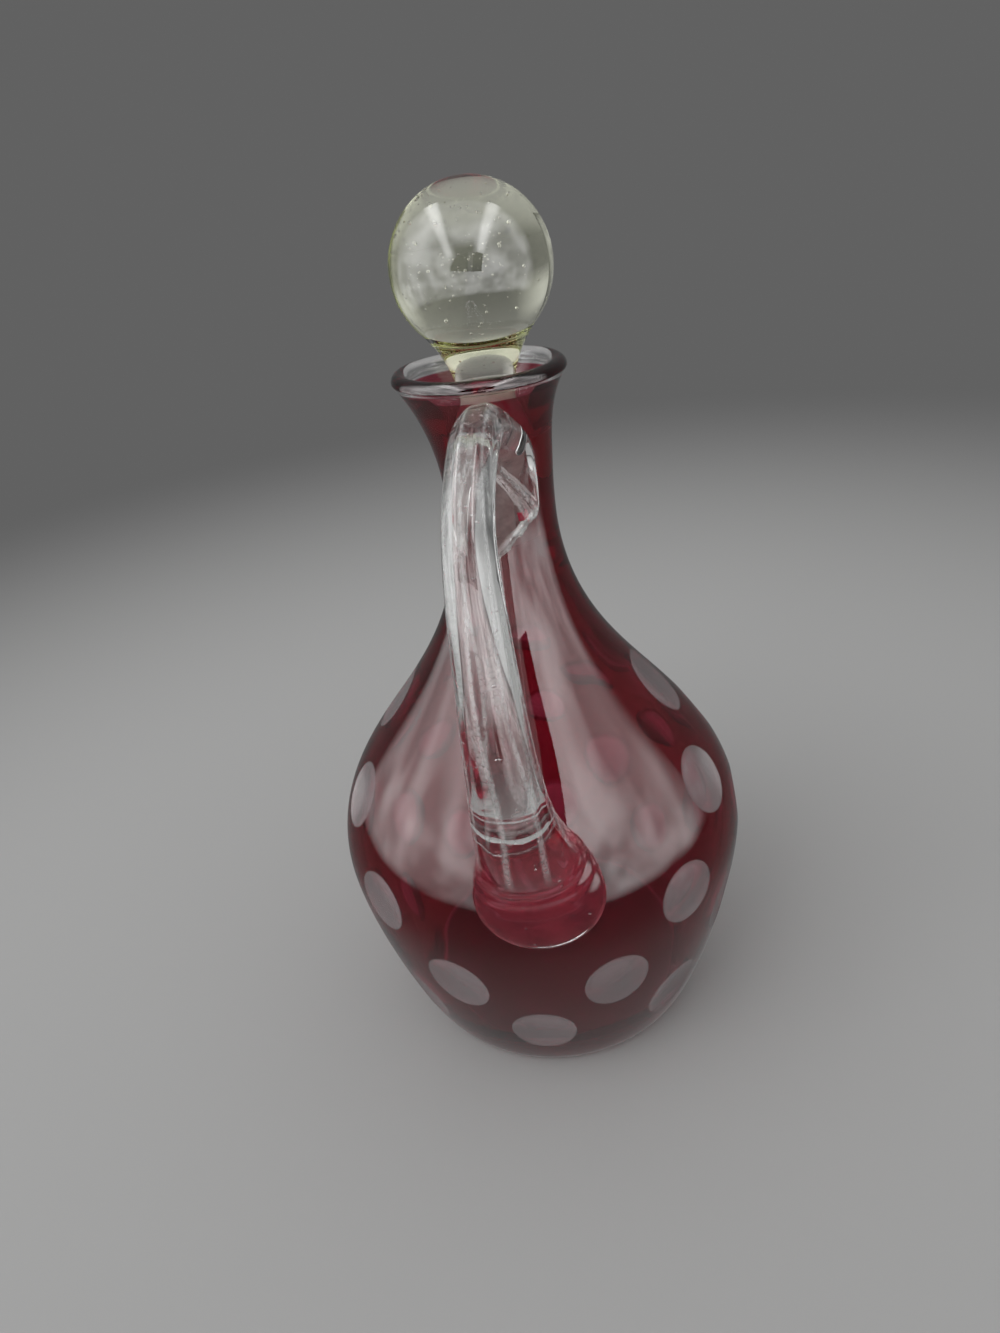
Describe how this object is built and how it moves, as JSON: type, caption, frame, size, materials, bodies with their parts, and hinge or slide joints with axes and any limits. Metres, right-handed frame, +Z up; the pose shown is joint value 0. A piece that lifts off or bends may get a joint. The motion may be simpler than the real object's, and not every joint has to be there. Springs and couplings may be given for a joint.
{
  "type": "glass cruet",
  "caption": "Pear-shaped clear glass cruet under a ruby overlay cut through in staggered round lenses, with an applied clear handle and a lift-out ball stopper.",
  "frame": {"origin": "centre of the flat ground base, on the surface the cruet stands on", "axes": "+Z up along the bottle's axis, -Y towards the handle, +X to the right of someone facing the handle"},
  "size_m": [0.1176, 0.1306, 0.2342],
  "materials": {
    "clear_glass": "fire-polished clear glass, lens cuts polished",
    "ruby_glass": "polished deep ruby overlay",
    "handle_glass": "fire-polished clear glass with drawn striae",
    "stopper_glass": "clear glass with a faint straw tint, plug ground matt"
  },
  "bodies": {
    "bottle": {"bottle": "clear_glass", "ruby_overlay": "ruby_glass", "handle": "handle_glass"},
    "stopper": {"stopper": "stopper_glass"}
  },
  "joints": [
    {"name": "stopper_lift", "type": "slide", "parent": "bottle", "child": "stopper", "axis": [0, 0, 1], "range_m": [0, 0.08]}
  ]
}
